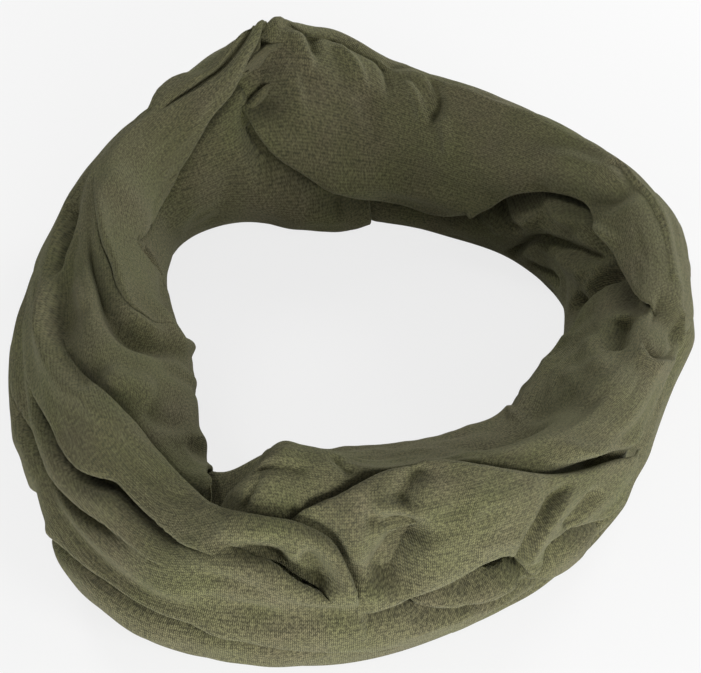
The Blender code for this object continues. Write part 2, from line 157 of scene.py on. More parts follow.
def smooth_ring(angle, girth):
    """Points on the bunched ring before its folds, in millimetres."""
    girth = np.clip(np.asarray(girth, float), 0.0, 100.0)
    size = {name: round_the_ring(angle, k) for k, name in enumerate(SECTION_COLUMNS)}
    out = np.stack((
        size["foot_in"],
        size["inner"],
        size["inner"] * SHOULDER_OUT + size["crown"] * (1 - SHOULDER_OUT) - SHOULDER_SWELL,
        size["crown"],
        size["outer"] * SHOULDER_OUT + size["crown"] * (1 - SHOULDER_OUT) + SHOULDER_SWELL,
        size["outer"],
        size["foot_out"],
    ))
    up = np.stack((
        size["inner_z"] * 0,
        size["inner_z"],
        size["inner_z"] * SHOULDER_DOWN + size["crown_z"] * (1 - SHOULDER_DOWN) + INNER_RISE,
        size["crown_z"],
        size["outer_z"] * SHOULDER_DOWN + size["crown_z"] * (1 - SHOULDER_DOWN) + OUTER_RISE,
        size["outer_z"],
        size["outer_z"] * 0,
    ))
    span = np.clip(np.searchsorted(KNOTS, girth, side="right") - 1, 0, len(KNOTS) - 2)
    width = KNOTS[span + 1] - KNOTS[span]
    t = (girth - KNOTS[span]) / width
    index = np.arange(len(girth))

    def along(values):
        slopes = np.gradient(values, KNOTS, axis=0)
        slopes[[0, -1]] *= END_EASE
        ends = values[span, index], values[span + 1, index]
        return between(*ends, slopes[span, index] * width, slopes[span + 1, index] * width, t)

    radius = along(out)
    turn = np.radians(angle)
    return np.stack((radius * np.cos(turn), radius * np.sin(turn), along(up)), axis=-1)


def ways_on_ring(angle, girth):
    """Unit vectors round the ring, over it and out of it."""
    step = 0.5
    girth = np.clip(girth, step, 100.0 - step)
    round_way = smooth_ring(angle + step, girth) - smooth_ring(angle - step, girth)
    over_way = smooth_ring(angle, girth + step) - smooth_ring(angle, girth - step)
    out_way = np.cross(over_way, round_way)
    return tuple(way / np.linalg.norm(way, axis=-1, keepdims=True) for way in (round_way, over_way, out_way))


# ---- paths on the plan


def lengths_along(path):
    """How far along a path each of its points lies."""
    return np.concatenate(((0.0,), np.cumsum(np.linalg.norm(np.diff(path, axis=0), axis=1))))


def smooth_path(places, step):
    """A smooth path through (angle, girth) places: points about a step apart, in millimetres on the plan."""
    flat = np.array(places, float) * (PER_DEGREE, PER_GIRTH)
    padded = np.concatenate((2 * flat[:1] - flat[1:2], flat, 2 * flat[-1:] - flat[-2:-1]))
    points = []
    for before, start, end, after in zip(padded, padded[1:], padded[2:], padded[3:]):
        steps = max(1, round(np.linalg.norm(end - start) / step))
        share = np.arange(steps)[:, None] / steps
        points.append(between(start, end, (end - before) / 2, (after - start) / 2, share))
    points.append(flat[-1:])
    return np.concatenate(points)


def measure_from(path, plan):
    """For each point of the plan: how far it is from a path, on which side, how far along, and the way to it.

    The side is 1 to the left of the path and -1 to the right. The way is a unit vector away from the path.
    """
    starts = path[:-1]
    runs = path[1:] - starts
    lengths = np.linalg.norm(runs, axis=1)
    done = lengths_along(path)
    best = np.full(len(plan), np.inf)
    along = np.zeros(len(plan))
    side = np.zeros(len(plan))
    away = np.zeros((len(plan), 2))
    for start, run, length, before in zip(starts, runs, lengths, done):
        gap = plan - start
        t = np.clip(gap @ run / length**2, 0.0, 1.0)
        off = gap - t[:, None] * run
        square = (off**2).sum(axis=1)
        nearer = square < best
        best[nearer] = square[nearer]
        along[nearer] = before + t[nearer] * length
        left_way = np.array((-run[1], run[0])) / length
        across = off[nearer] @ left_way
        side[nearer] = np.where(across >= 0, 1.0, -1.0)
        away[nearer] = side[nearer][:, None] * left_way
    return np.sqrt(best), side, along, away


def near_turn(plan, path):
    """The plan's points, each moved by whole turns until it is on the path's own turn of the ring."""
    middle = (path[:, 0].min() + path[:, 0].max()) / 2
    moved = plan.copy()
    moved[:, 0] = (plan[:, 0] - middle + WHOLE_TURN / 2) % WHOLE_TURN - WHOLE_TURN / 2 + middle
    return moved


# ---- folds


def seen_in_place(path, height):
    """Moves a path over the cloth so that, raised by a height, it is still seen over the same place."""
    angle = path[:, 0] / PER_DEGREE
    girth = path[:, 1] / PER_GIRTH
    round_way, over_way, out_way = ways_on_ring(angle, girth)
    facing = out_way @ VIEW_WAY
    slid = VIEW_WAY / np.maximum(facing, LEAST_FACING)[:, None] - out_way
    shift = height * slid * (facing > 0.0)[:, None]
    near = smooth_ring(angle, girth)
    degree = np.linalg.norm(smooth_ring(angle + 1.0, girth) - near, axis=1)
    unit = np.linalg.norm(smooth_ring(angle, girth + 1.0) - near, axis=1)
    round_shift = (shift * round_way).sum(axis=1) / degree * PER_DEGREE
    over_shift = (shift * over_way).sum(axis=1) / unit * PER_GIRTH
    return path + np.stack((round_shift, over_shift), axis=-1)


def fold(path, height, left, right, lean=0.0, ends=(0.22, 0.22)):
    """A ridge, or below zero a trough, along a path, that spreads to the left and right of it.

    A broad swell stays where it is written; a narrower one is moved, so as to be seen where it is written.
    A lean tips it over towards the left, or below zero towards the right, until the cloth overhangs.
    Ends are the shares of its length over which it grows and dies away.
    """
    seen = max(height, -TROUGH_SHIFT * (left + right)) if left < BROAD else 0.0
    return {
        "path": seen_in_place(smooth_path(path, FOLD_STEP), seen),
        "height": height, "left": left, "right": right, "lean": lean, "ends": ends,
    }


FAR_FOLDS = (
    # the far band, between the high corner and the right
    fold(((107, 50), (109.5, 44), (111.5, 38), (113, 31)), -13.0, 9, 14, ends=(0.4, 0.3)),
    fold(((101, 50), (103, 53), (105, 58)), 4.6, 8, 8, ends=(0.4, 0.4)),
    fold(((103, 44), (102, 38), (102, 30)), 2.2, 4, 3, ends=(0.3, 0.4)),
    fold(((112, 32), (106, 28.5), (99, 26.5), (90, 25), (80, 23), (70, 22), (60, 23)), 1.8, 3, 3,
         ends=(0.1, 0.2)),
    fold(((100, 50), (99, 45), (98, 40)), 3.5, 3, 2.4),
    fold(((96.5, 50), (97, 46), (97, 42)), -4.3, 2, 2, ends=(0.2, 0.4)),
    fold(((93, 50), (89, 46), (86, 40)), 3.8, 3, 2.4, ends=(0.2, 0.4)),
    fold(((84, 53), (82, 47), (81, 40)), -4.1, 2.4, 3, ends=(0.2, 0.5)),
    fold(((79, 50), (75, 44), (72, 38)), 3.5, 3, 2.4),
    fold(((73, 54), (70, 46), (71, 39)), -3.8, 2.4, 2.4),
    fold(((69, 43), (66, 37), (64, 32)), 3.0, 3, 3),
    fold(((87, 41), (85, 36), (83, 31)), -1.9, 5, 5),
    fold(((60, 46), (56, 39), (55, 32)), -1.4, 6, 6),
    fold(((46, 31), (40, 33), (31, 37), (24, 42), (21, 49), (24, 60)), -4.6, 4, 6, ends=(0.2, 0.5)),
    fold(((48, 40), (38, 44), (30, 50), (26, 58)), 2.4, 6, 6),
    # the crumpled wall under it
    fold(((56, 20), (52, 16), (49, 10), (46, 7)), 4.4, 2.4, 2.4),
    fold(((50, 23), (46, 22), (42, 22), (37, 24)), -6.5, 2, 2, ends=(0.2, 0.3)),
    fold(((46, 26), (39, 28), (32, 28), (25, 31), (18, 35), (12, 38)), 5.2, 2.4, 3),
    fold(((48, 16), (43, 20), (37, 25)), 3.9, 2.2, 2.2),
    fold(((42, 9), (39, 15), (36, 21), (29, 25)), -6.5, 2, 2),
    fold(((34, 22), (27, 25), (19, 29), (11, 35)), -6.5, 2.2, 2.2),
    fold(((30, 20), (22, 22), (14, 25)), 3.4, 3, 3),
    fold(((36, 12), (28, 15), (20, 18)), -3.9, 2.5, 2.5),
    fold(((9, 39), (7, 34), (5, 27)), -8.5, 4, 5, ends=(0.3, 0.3)),
    fold(((11, 23), (5, 26), (0, 28)), -7.8, 3, 3),
    fold(((1, 20), (358, 26), (356, 34)), 2.9, 4, 4),
    # the right side
    fold(((30, 60), (17, 58), (5, 60), (357, 64), (351, 71)), 2.6, 5, 6),
    fold(((352, 44), (346, 44), (340, 45)), -6.0, 4, 4),
    fold(((350, 35), (342, 39), (334, 45)), 1.4, 4, 4),
    fold(((352, 50), (350, 58), (348, 66)), -4.0, 7, 7),
    fold(((344, 48), (341, 54), (341, 60), (344, 67), (348, 73)), 2.0, 3, 2, lean=-1.6, ends=(0.2, 0.2)),
    fold(((357, 66), (353, 69), (350, 74)), 2.0, 2, 2),
    fold(((330, 36), (323, 46), (321, 55)), -2.0, 8, 8),
    fold(((340, 38), (333, 50), (331, 60)), 1.4, 7, 7),
    fold(((312, 54), (316, 60), (320, 65), (326, 70), (332, 73), (338, 75)), 2.4, 2.4, 3.5,
         ends=(0.2, 0.35)),
    # the hump behind it
    fold(((249, 53), (257, 52), (263, 51)), -2.6, 2.4, 2.4),
    fold(((249, 60), (251, 57), (252, 54)), -2.4, 1.6, 1.6),
    fold(((266, 46), (268, 49), (271, 52)), -2.4, 2.4, 2.4),
    fold(((230, 44), (241, 45), (256, 43)), -17.0, 10, 10, ends=(0.1, 0.55)),
    fold(((228, 32), (239, 33), (250, 34)), -12.0, 12, 12, ends=(0.2, 0.45)),
    fold(((284, 47), (292, 49), (300, 52)), -1.2, 3, 3),
)
LEFT_FOLDS = (
    # the left side, from the high corner to the lobe beside the opening
    fold(((108, 53), (111, 48), (116, 47), (121, 48), (127, 49), (136, 51)), -4.0, 2.4, 2,
         ends=(0.15, 0.4)),
    fold(((109, 48), (114, 44), (122, 42), (130, 38)), 1.8, 3, 2.4),
    fold(((112, 41), (113, 35), (114, 28), (115, 20)), -5.0, 4, 4, ends=(0.15, 0.3)),
    fold(((112, 26), (108, 24), (104, 22)), 1.4, 3, 3),
    fold(((106, 19), (99, 18), (91, 16)), -3.0, 3, 3),
    fold(((126, 30), (132, 22), (140, 14)), 1.6, 6, 6),
    fold(((120, 30), (124, 22), (130, 12)), -1.6, 5, 5),
    fold(((150, 50), (153, 40), (152, 28)), 2.4, 10, 10),
    fold(((162, 36), (161, 31), (159, 25)), -6.5, 2.4, 2.4, ends=(0.3, 0.3)),
    fold(((157, 29), (158, 24), (160, 17)), -5.0, 2.2, 2.2),
    fold(((152, 55), (159, 49), (166, 46), (173, 43.5), (181, 42), (187, 39), (189, 32), (188, 22)),
         3.2, 3, 5, ends=(0.3, 0.3)),
    fold(((162, 53), (171, 50), (180, 48), (189, 46), (196, 42), (200, 34), (199, 24)), -8.5, 7, 5,
         ends=(0.3, 0.3)),
    fold(((142, 62), (154, 62.5), (164, 62), (175, 62), (186, 61.5), (194, 60), (202, 57)), -9.0, 3, 14,
         ends=(0.5, 0.25)),
    fold(((174, 30), (181, 26), (187, 21), (192, 16)), 3.6, 6, 6, ends=(0.3, 0.2)),
    fold(((170, 22), (176, 20), (182, 16)), -3.4, 2.2, 2.2),
    fold(((204, 52), (209, 43), (212, 32)), 3.0, 6, 6),
    fold(((206, 36), (212, 27), (214, 16)), -2.0, 5, 5),
    fold(((200, 20), (211, 24), (222, 26), (232, 30)), 5.0, 12, 12, ends=(0.3, 0.1)),
    fold(((180, 14), (183, 20), (184, 26)), -3.0, 3.5, 3.5),
    fold(((216, 44), (222, 40), (227, 34)), -2.0, 5, 5),
    # the outer bands on the left
    fold(((158, 66), (167, 64.5), (175, 65), (183, 65)), -7.0, 1.8, 1.8, ends=(0.15, 0.5)),
    fold(((156, 69), (166, 68.5), (178, 68), (189, 67.5), (198, 65)), 4.4, 5, 3.5, ends=(0.3, 0.3)),
    fold(((176, 60), (182, 57), (187, 54)), 2.4, 3, 3),
    fold(((195, 61), (202, 58), (209, 55)), -3.4, 3.5, 3.5),
    fold(((146, 60), (156, 61), (168, 60)), 1.4, 5, 5),
    # the long folds that sweep down from the left to the near side
    fold(((183, 66), (192, 66), (200, 63), (207, 59), (215, 54), (224, 50), (233, 50), (239, 53)),
         2.6, 3.5, 5, ends=(0.25, 0.25)),
    fold(((197, 77), (205, 74), (212, 72), (220, 70), (228, 65), (236, 65)), 1.8, 3.5, 3.5),
    fold(((199, 84), (208, 80), (216, 78), (225, 75), (236, 74)), 1.6, 4, 5),
    fold(((247, 66), (252, 66.5), (257, 67), (261, 68)), -4.0, 2, 2.4, ends=(0.5, 0.2)),
    fold(((243, 66), (248, 69), (256, 70), (262, 73), (268, 77)), 1.6, 3, 2.4),
    fold(((247, 62), (252, 64), (257, 64.5)), 2.2, 3, 3),
    fold(((261, 66), (263.5, 67.5), (265.5, 70.5), (267.5, 74)), -7.5, 3.4, 3, ends=(0.25, 0.25)),
    fold(((252, 63.5), (259, 63), (264, 64), (268, 67), (270, 72), (271, 77)), 1.8, 1.8, 1.8,
         ends=(0.3, 0.1)),
    fold(((247, 71), (253, 72), (258, 73.5)), -1.5, 1.5, 1.5),
    fold(((258, 74), (264, 76), (270, 78)), -1.4, 1.4, 1.4),
    fold(((246, 75), (253, 76), (260, 78)), -1.1, 1.5, 1.5),
    fold(((238, 74), (246, 77), (254, 79)), 1.0, 3, 3),
    # the lower right
    fold(((286, 79), (292, 78), (298, 78.5), (303, 80)), -6.0, 5, 5),
    fold(((286, 81), (292, 82), (300, 85)), 1.2, 2.4, 2.4),
    fold(((305, 82), (311, 83), (318, 83)), 1.4, 4, 4),
    fold(((328, 74), (338, 77), (348, 79), (358, 80)), 1.6, 3, 4),
    fold(((288, 90), (304, 91.5), (318, 89.5), (334, 87)), -3.0, 1.8, 2.4),
    fold(((276, 86), (288, 87), (300, 90)), 1.6, 2.4, 2.4),
    fold(((312, 79), (320, 84), (330, 85)), -2.4, 2, 2.4),
    # the slow swell of the whole ring
    fold(((102, 62), (107, 58), (114, 56), (124, 56)), -4.4, 9, 9),
)
CROWN_FOLDS = (
    # the near crown
    fold(((288, 60), (298, 63), (306, 66)), 2.4, 11, 11),
    fold(((282, 61), (279, 66), (277, 71), (274.5, 76)), -17.0, 7, 7, ends=(0.3, 0.3)),
    fold(((272, 56), (274, 60.5), (279, 62.5), (284, 65)), -5.5, 2.4, 2.4, ends=(0.3, 0.3)),
    fold(((271, 58), (277, 59.5), (284, 63)), 2.0, 2.4, 2.4, ends=(0.3, 0.3)),
    fold(((272.5, 58), (273.5, 63), (274, 68), (274, 73)), -3.0, 2, 2.4, ends=(0.3, 0.5)),
    fold(((287, 65), (283, 69), (279, 73), (276, 77)), 2.6, 3.4, 3.4, ends=(0.4, 0.3)),
    fold(((285, 51), (281, 55), (278, 60)), -5.0, 4.5, 4),
    fold(((268, 57), (270, 64), (271, 71)), 1.6, 2.5, 2.5),
    fold(((313, 68), (308, 71), (304, 74), (302, 78), (301, 82)), 4.2, 2.4, 4.5, lean=2.4, ends=(0.3, 0.1)),
    fold(((316, 71), (311, 73), (306, 75)), -4.0, 3, 3),
    fold(((290, 70), (295, 71), (300, 72)), 1.6, 3, 3),
)
UNDER_FOLDS = (
    # the lowest fold
    fold(((212, 90), (228, 90), (246, 91), (268, 93)), 2.4, 10, 10),
)
SHARED_FOLDS = (
    # the outside at the back
    fold(((104, 68), (88, 72), (70, 75), (38, 73)), -6.0, 5, 4),
    fold(((146, 78), (128, 74), (108, 77), (92, 75)), -5.5, 4, 4),
    fold(((98, 74), (80, 79), (58, 81), (40, 79)), 2.4, 6, 4, lean=-2.0),
    fold(((34, 71), (22, 74), (8, 75), (356, 78)), -3.5, 4, 4),
    fold(((12, 78), (30, 81), (52, 83)), 2, 6, 6),
    fold(((134, 62), (122, 66), (108, 68)), 3, 7, 4, lean=-2.2),
    fold(((172, 84), (150, 82), (130, 82)), -4.0, 3, 3),
    fold(((184, 91), (166, 89), (146, 90), (120, 88), (98, 90)), -4.0, 4, 5),
    fold(((150, 94), (128, 92), (104, 94)), 2.6, 4, 4),
    fold(((108, 92), (84, 89), (58, 91), (30, 89)), 3.4, 4, 4),
    fold(((74, 94), (52, 94), (30, 93), (12, 94)), -3.0, 3, 4),
    fold(((40, 88), (26, 87), (12, 88)), -3.0, 4, 4),
    fold(((90, 87), (70, 86), (50, 88)), -3.0, 3, 3),
    # the slow swell of the whole ring
    fold(((116, 62), (125, 64), (140, 66), (158, 68)), -1.8, 13, 13, ends=(0.2, 0.3)),
    fold(((103, 55), (95, 53), (86, 54), (77, 58)), -5.6, 12, 12),
    fold(((358, 80), (346, 81), (336, 80), (324, 80)), -7.5, 14, 14),
    fold(((262, 41), (284, 40), (304, 39), (318, 37), (329, 33)), -6.0, 13, 13, ends=(0.2, 0.15)),
    fold(((296, 41), (305, 41), (312, 40), (319, 36)), -4.5, 10, 10, ends=(0.3, 0.3)),
    fold(((160, 18), (171, 20), (182, 20)), -3.5, 9, 9),
    fold(((212, 88), (228, 88), (246, 90)), 2.4, 13, 13),
    fold(((210, 86), (215, 86), (220, 86)), -2.0, 9, 9),
    fold(((158, 76), (174, 78), (188, 82), (198, 84), (206, 86)), 1.8, 12, 12, ends=(0.5, 0.1)),
    fold(((284, 88), (300, 88), (318, 86)), 1.2, 12, 12),
)
FOLDS = {
    "far_and_right_cloth": FAR_FOLDS,
    "left_and_near_cloth": LEFT_FOLDS,
    "crown_cloth": CROWN_FOLDS,
    "under_fold_cloth": UNDER_FOLDS,
}


def folds_on(piece, plan):
    """How far the folds lift each point of a piece, and how far they tip it over, as a vector on the plan."""
    rise = np.zeros(len(plan))
    tip = np.zeros((len(plan), 2))
    for each in FOLDS.get(piece, ()) + SHARED_FOLDS:
        path = each["path"]
        moved = near_turn(plan, path)
        reach = FOLD_REACH * max(each["left"], each["right"])
        low, high = path.min(axis=0) - reach, path.max(axis=0) + reach
        close = np.nonzero(((moved > low) & (moved < high)).all(axis=1))[0]
        if not len(close):
            continue
        distance, side, along, away = measure_from(path, moved[close])
        length = lengths_along(path)[-1]
        grow, die = each["ends"]
        strength = ease(along / (grow * length)) * ease((length - along) / (die * length))
        spread = np.where(side > 0, each["left"], each["right"])
        ratio = distance / spread
        shape = np.exp(-(ratio**2))
        left_way = away * side[:, None]
        rise[close] += each["height"] * strength * shape
        if each["lean"]:
            tip[close] += (each["lean"] * strength * shape)[:, None] * left_way
            steep = side * np.sign(each["lean"])
            gutter = np.exp(-(((distance * steep - GUTTER_PLACE * spread) / spread) ** 2)) * (steep > 0)
            rise[close] -= GUTTER_DEPTH * abs(each["height"]) * strength * gutter
    return rise, tip


# ---- small ripples in the cloth


def ripples(plan, length_round, length_over, seed):
    """Soft random ripples, about one unit high, of typical lengths round and over the ring.

    The same seed gives the same ripples.
    """
    chance = np.random.default_rng(seed)
    total = np.zeros(len(plan))
    for _ in range(WAVES):
        turns = round(chance.normal(0.0, WHOLE_TURN / length_round))
        over = chance.normal(0.0, 2 * math.pi / length_over)
        phase = chance.uniform(0.0, 2 * math.pi)
        total += np.cos(plan[:, 0] * turns * 2 * math.pi / WHOLE_TURN + plan[:, 1] * over + phase)
    return total * math.sqrt(2.0 / WAVES)


def small_wrinkles(plan):
    """The slight unevenness of limp jersey between its folds, in millimetres."""
    soft = ripples(plan, length_round=60.0, length_over=34.0, seed=3)
    fine = ripples(plan, length_round=30.0, length_over=12.0, seed=8)
    patches = ease(ripples(plan, length_round=130.0, length_over=60.0, seed=5) * 0.5 + 0.5)
    return SOFT_WRINKLE * soft + FINE_WRINKLE * fine * patches


# ---- folded edges that lie over other cloth


def lap(path, over, radius, sink, reach=10.0, drawn=8.0, gap=(0.0,), gap_reach=2.6, ends=(0.0, 0.0)):
    """A folded edge seen along a path, with the cloth on its over side rolled round a radius.

    The cloth on the other side is drawn in under it, and sinks there, over its reach. The gaps, in even steps
    along the edge, are how much deeper it lies right beside the edge.
    """
    line = smooth_path(path, LAP_STEP)
    length = lengths_along(line)
    strength = np.ones_like(length)
    if ends[0]:
        strength *= ease(length / (ends[0] * length[-1]))
    if ends[1]:
        strength *= ease((length[-1] - length) / (ends[1] * length[-1]))
    sign = 1.0 if over == "left" else -1.0
    way = np.gradient(line, axis=0)
    way = way / np.linalg.norm(way, axis=1, keepdims=True)
    under_way = -sign * np.stack((-way[:, 1], way[:, 0]), axis=-1)
    cut = line + under_way * (SEEN_SHARE * radius * strength)[:, None]
    gaps = np.interp(length / length[-1], np.linspace(0.0, 1.0, len(gap)), gap)
    return {
        "cut": cut, "length": lengths_along(cut), "strength": strength, "sign": sign, "radius": radius,
        "sink": sink, "reach": reach, "drawn": drawn, "gap": gaps, "gap_reach": gap_reach,
    }


LAPS = {
    "band_edge": lap(
        ((117, 42), (115.5, 36), (114.2, 31), (112, 27.5), (109, 25.5), (104, 24), (97, 22), (90, 20.5),
         (81, 18), (72, 17), (64, 17), (57, 19), (50, 23), (45, 28), (39, 32), (31, 36), (26, 37), (20, 37),
         (14, 37.5), (8, 39.5), (2, 42), (-3, 45), (-5.5, 48), (-6.5, 51), (-8, 55)),
        "right", 1.8, 3.0, reach=7.0, drawn=7.0, gap=(4, 12, 15, 14, 12, 10, 10, 10, 9, 8, 7),
        gap_reach=6.5, ends=(0.08, 0.1),
    ),
    "lower_layer_end": lap(
        ((86, 0), (83.5, 8), (83, 22)),
        "right", 1.3, 3.6, reach=6.0, drawn=6.0, gap=(2, 3, 5), ends=(0.0, 0.4),
    ),
    "diagonal": lap(
        ((97, 88), (100, 76), (105, 62), (106, 52), (108, 46), (112, 43), (117, 40), (123, 38), (129, 33),
         (133, 30), (138, 27), (143, 26.5), (149, 27.5), (156, 30.5), (162, 34)),
        "left", 1.7, 4.5, reach=9.0, drawn=7.0, gap=(2, 2, 2, 4, 8, 8, 5, 4, 4, 4), gap_reach=2.2,
        ends=(0.0, 0.12),
    ),
    "long_edge": lap(
        ((191, 62), (200, 58), (207, 54), (215, 50), (223, 46.5), (231, 46.5), (238, 50), (244, 56.5),
         (249, 60), (255, 61), (260, 61), (264, 62), (267, 64), (269, 67.5), (271, 73), (272, 79)),
        "left", 1.8, 5.0, reach=9.0, gap=(0, 1, 2, 2, 3, 3, 2, 3, 4, 4), ends=(0.18, 0.07),
    ),
    "lobe_end": lap(
        ((236, 0), (236, 18), (237, 30), (239, 40), (242, 48), (244, 56)),
        "left", 1.1, 3.0, reach=7.0, drawn=8.0, ends=(0.35, 0.0),
    ),
    "flap_edge": lap(
        ((152, 56), (159, 50.5), (166, 47.5), (173, 45), (181, 43.5), (187, 41), (190.5, 36), (190, 29)),
        "right", 2.2, 2.6, reach=8.0, drawn=3.0, gap=(0, 1, 1, 0, 0), ends=(0.3, 0.4),
    ),
    "upper_long_fold": lap(
        ((194, 74), (199, 72), (204, 70), (209, 68), (214, 67.5), (219, 66), (223, 63), (226, 60.5),
         (230, 60.5), (235, 61), (239, 62.5), (243, 65), (249, 68)),
        "right", 1.5, 2.4, reach=7.0, drawn=3.0, gap=(2, 8, 9, 8, 12, 12, 8, 4, 2), ends=(0.2, 0.35),
    ),
    "lower_long_fold": lap(
        ((192, 82), (196, 81), (201, 79), (208, 76), (216, 74), (223, 71.5), (229, 69.5), (235, 69),
         (241, 70)),
        "right", 1.5, 2.6, reach=7.0, drawn=3.0, gap=(1, 9, 11, 11, 9, 4, 1), ends=(0.3, 0.4),
    ),
    "pocket_edge": lap(
        ((250, 66), (254, 67.5), (258, 68.5), (262, 71), (265, 73), (268, 75.5)),
        "left", 1.4, 3.0, reach=6.0, drawn=3.0, gap=(1, 3, 5, 5, 4), ends=(0.3, 0.3),
    ),
    "crown_top": lap(
        ((249, 63), (254, 61.5), (261, 58.5), (267, 56.5), (272, 54), (276, 52), (280, 51), (284, 50),
         (288, 50.5), (291, 52), (295, 54), (299, 56), (304, 59), (308, 61.5), (312, 63.5), (316, 65.5),
         (320, 68), (324, 71), (328, 74)),
        "left", 2.0, 4.2, reach=8.0, drawn=8.0, gap=(1, 1, 1.5, 1.5, 1.5, 1.5, 1.5, 2, 6, 6, 1),
        ends=(0.0, 0.12),
    ),
    "crown_edge": lap(
        ((267, 73), (270, 77.5), (274, 78.5), (278, 78), (283, 77), (286, 76.5), (289, 75), (292, 74),
         (296, 74.5), (298.5, 78), (300.5, 82), (302.5, 81), (304.5, 77), (309, 77), (313, 79), (317, 81),
         (321, 81), (325, 78), (328, 74)),
        "right", 1.5, 3.2, reach=7.0, drawn=7.0, gap=(1, 4, 7, 7, 5, 4, 6, 6, 4, 1), gap_reach=3.2,
        ends=(0.14, 0.12),
    ),
    "second_fold": lap(
        ((288, 78), (291, 79), (295, 81), (299, 83), (302, 85.5)),
        "left", 1.2, 2.2, reach=5.0, drawn=2.0, gap=(3, 6, 4), ends=(0.25, 0.3),
    ),
    "third_fold": lap(
        ((277, 81), (281, 82), (286, 83), (290, 83.5), (295, 85), (301, 87), (305, 88.5), (309, 88.5),
         (313, 87), (317, 84.5), (321, 83)),
        "right", 1.3, 2.4, reach=5.0, drawn=2.0, gap=(4, 6, 7, 7, 5), gap_reach=2.2, ends=(0.15, 0.2),
    ),
    "lower_edge": lap(
        ((100, 86), (125, 84), (150, 86), (172, 89), (190, 90), (205, 89), (213, 87), (219, 85), (225, 82),
         (232, 80.5), (239, 80.5), (246, 81), (251, 83), (257, 84), (264, 86), (273, 89), (284, 93),
         (296, 98)),
        "right", 1.6, 4.2, reach=8.0, gap=(2, 2, 2, 2, 2, 5, 12, 10, 6, 4, 2), ends=(0.0, 0.2),
    ),
    "back_edge": lap(
        ((112, 83), (96, 86), (76, 84), (52, 87), (30, 84), (14, 82), (4, 78), (-2, 76), (-8, 75),
         (-14, 73), (-21, 73), (-28, 72), (-34, 71)),
        "left", 1.8, 4.0, reach=9.0, gap=(2,),
    ),
}


def roll_and_tuck(plan, laps, lower_lip):
    """Rolls the cloth over each lap it lies on, and draws it in under each lap that lies on it.

    A role is over, under, or slit where the lap cuts the piece open and both sides are its own. A pair holds
    under and another lap's name, and spares the cloth on that lap's over side.
    It gives the new plan, how far each point drops, and the plan in its true lengths, which the knit follows.
    """
    moved = plan.copy()
    knit = plan.copy()
    drop = np.zeros(len(plan))
    for name, role in laps.items():
        role, spared = role if isinstance(role, tuple) else (role, None)
        each = LAPS[name]
        cut = each["cut"]
        on_turn = near_turn(moved, cut)
        reach = max(UNDER_REACH * each["reach"], MOST_ROLL * each["radius"])
        near = ((on_turn > cut.min(axis=0) - reach) & (on_turn < cut.max(axis=0) + reach)).all(axis=1)
        close = np.nonzero(near)[0]
        if not len(close):
            continue
        distance, side, along, _ = measure_from(cut, on_turn[close])
        strength = np.interp(along, each["length"], each["strength"])
        if spared:
            off, beside, _, _ = measure_from(LAPS[spared]["cut"], near_turn(plan[close], LAPS[spared]["cut"]))
            above = np.where(off < ON_LINE, ~lower_lip[close], beside * LAPS[spared]["sign"] > 0)
            distance = np.where(above, OUT_OF_REACH, distance)
        over_way = left_way_of(cut, along) * each["sign"]
        if role == "slit":
            on_over = np.where(distance < ON_LINE, ~lower_lip[close], side * each["sign"] > 0)
        else:
            on_over = np.full(len(close), role == "over")
        radius = np.maximum(each["radius"] * strength, SMALLEST_ROLL)
        run = MOST_ROLL * radius
        turn = np.clip((run - distance) / radius, 0.0, MOST_ROLL)
        rolled = np.where(distance < run, run - distance - radius * np.sin(turn), 0.0)
        hidden = (role == "under") & (side * each["sign"] > 0)
        reaches = distance / each["reach"]
        share = np.where(hidden, ease(UNDER_REACH - reaches), np.exp(-(reaches**2)))
        sunk = np.where(hidden, np.maximum(strength, ease(distance / UNDER_EASE)), strength) * share
        lower_still = np.where(hidden, HIDDEN_SINK * ease(distance / HIDDEN_EASE) * share, 0.0)
        sunk = each["sink"] * sunk + lower_still
        drawn = np.where(on_over, 0.0, each["drawn"] * share * strength)
        beyond = np.where(hidden, -distance, distance) - drawn + SEEN_SHARE * radius
        beside = np.where(hidden, share, 1.0) * np.exp(-((np.maximum(beyond, 0.0) / each["gap_reach"]) ** 2))
        sunk += np.interp(along, each["length"], each["gap"]) * strength * beside
        drop[close] += np.where(on_over, radius * (1 - np.cos(turn)), sunk)
        moved[close] += over_way * np.where(on_over, rolled, drawn)[:, None]
        knit[close] += over_way * drawn[:, None]
    return moved, drop, knit


def left_way_of(path, along):
    """The unit vector to the left of a path, at lengths along it."""
    way = np.gradient(path, axis=0)
    length = lengths_along(path)
    x = np.interp(along, length, way[:, 0])
    y = np.interp(along, length, way[:, 1])
    return np.stack((-y, x), axis=-1) / np.hypot(x, y)[:, None]


# ---- pieces of cloth


def outline_points(runs):
    """The closed outline of a piece.

    A run is a lap's name and the shares of it between which it is followed, or (angle, girth) places.
    """
    loop = []
    for run in runs:
        if isinstance(run[0], str):
            name, first, last = run
            cut = LAPS[name]["cut"]
            start, stop = round(first * (len(cut) - 1)), round(last * (len(cut) - 1))
            points = cut[start : stop + 1] if stop >= start else cut[stop : start + 1][::-1]
        else:
            points = smooth_path(run, SPACING)
        shift = round((loop[-1][0] - points[0][0]) / WHOLE_TURN) * WHOLE_TURN if loop else 0.0
        loop += [point + (shift, 0.0) for point in points]
    loop = [point for k, point in enumerate(loop) if np.linalg.norm(point - loop[k - 1]) > TOO_CLOSE]
    loop = np.array(loop)
    ahead = np.roll(loop, -1, axis=0)
    area = np.sum(loop[:, 0] * ahead[:, 1] - ahead[:, 0] * loop[:, 1])
    return loop if area > 0 else loop[::-1]


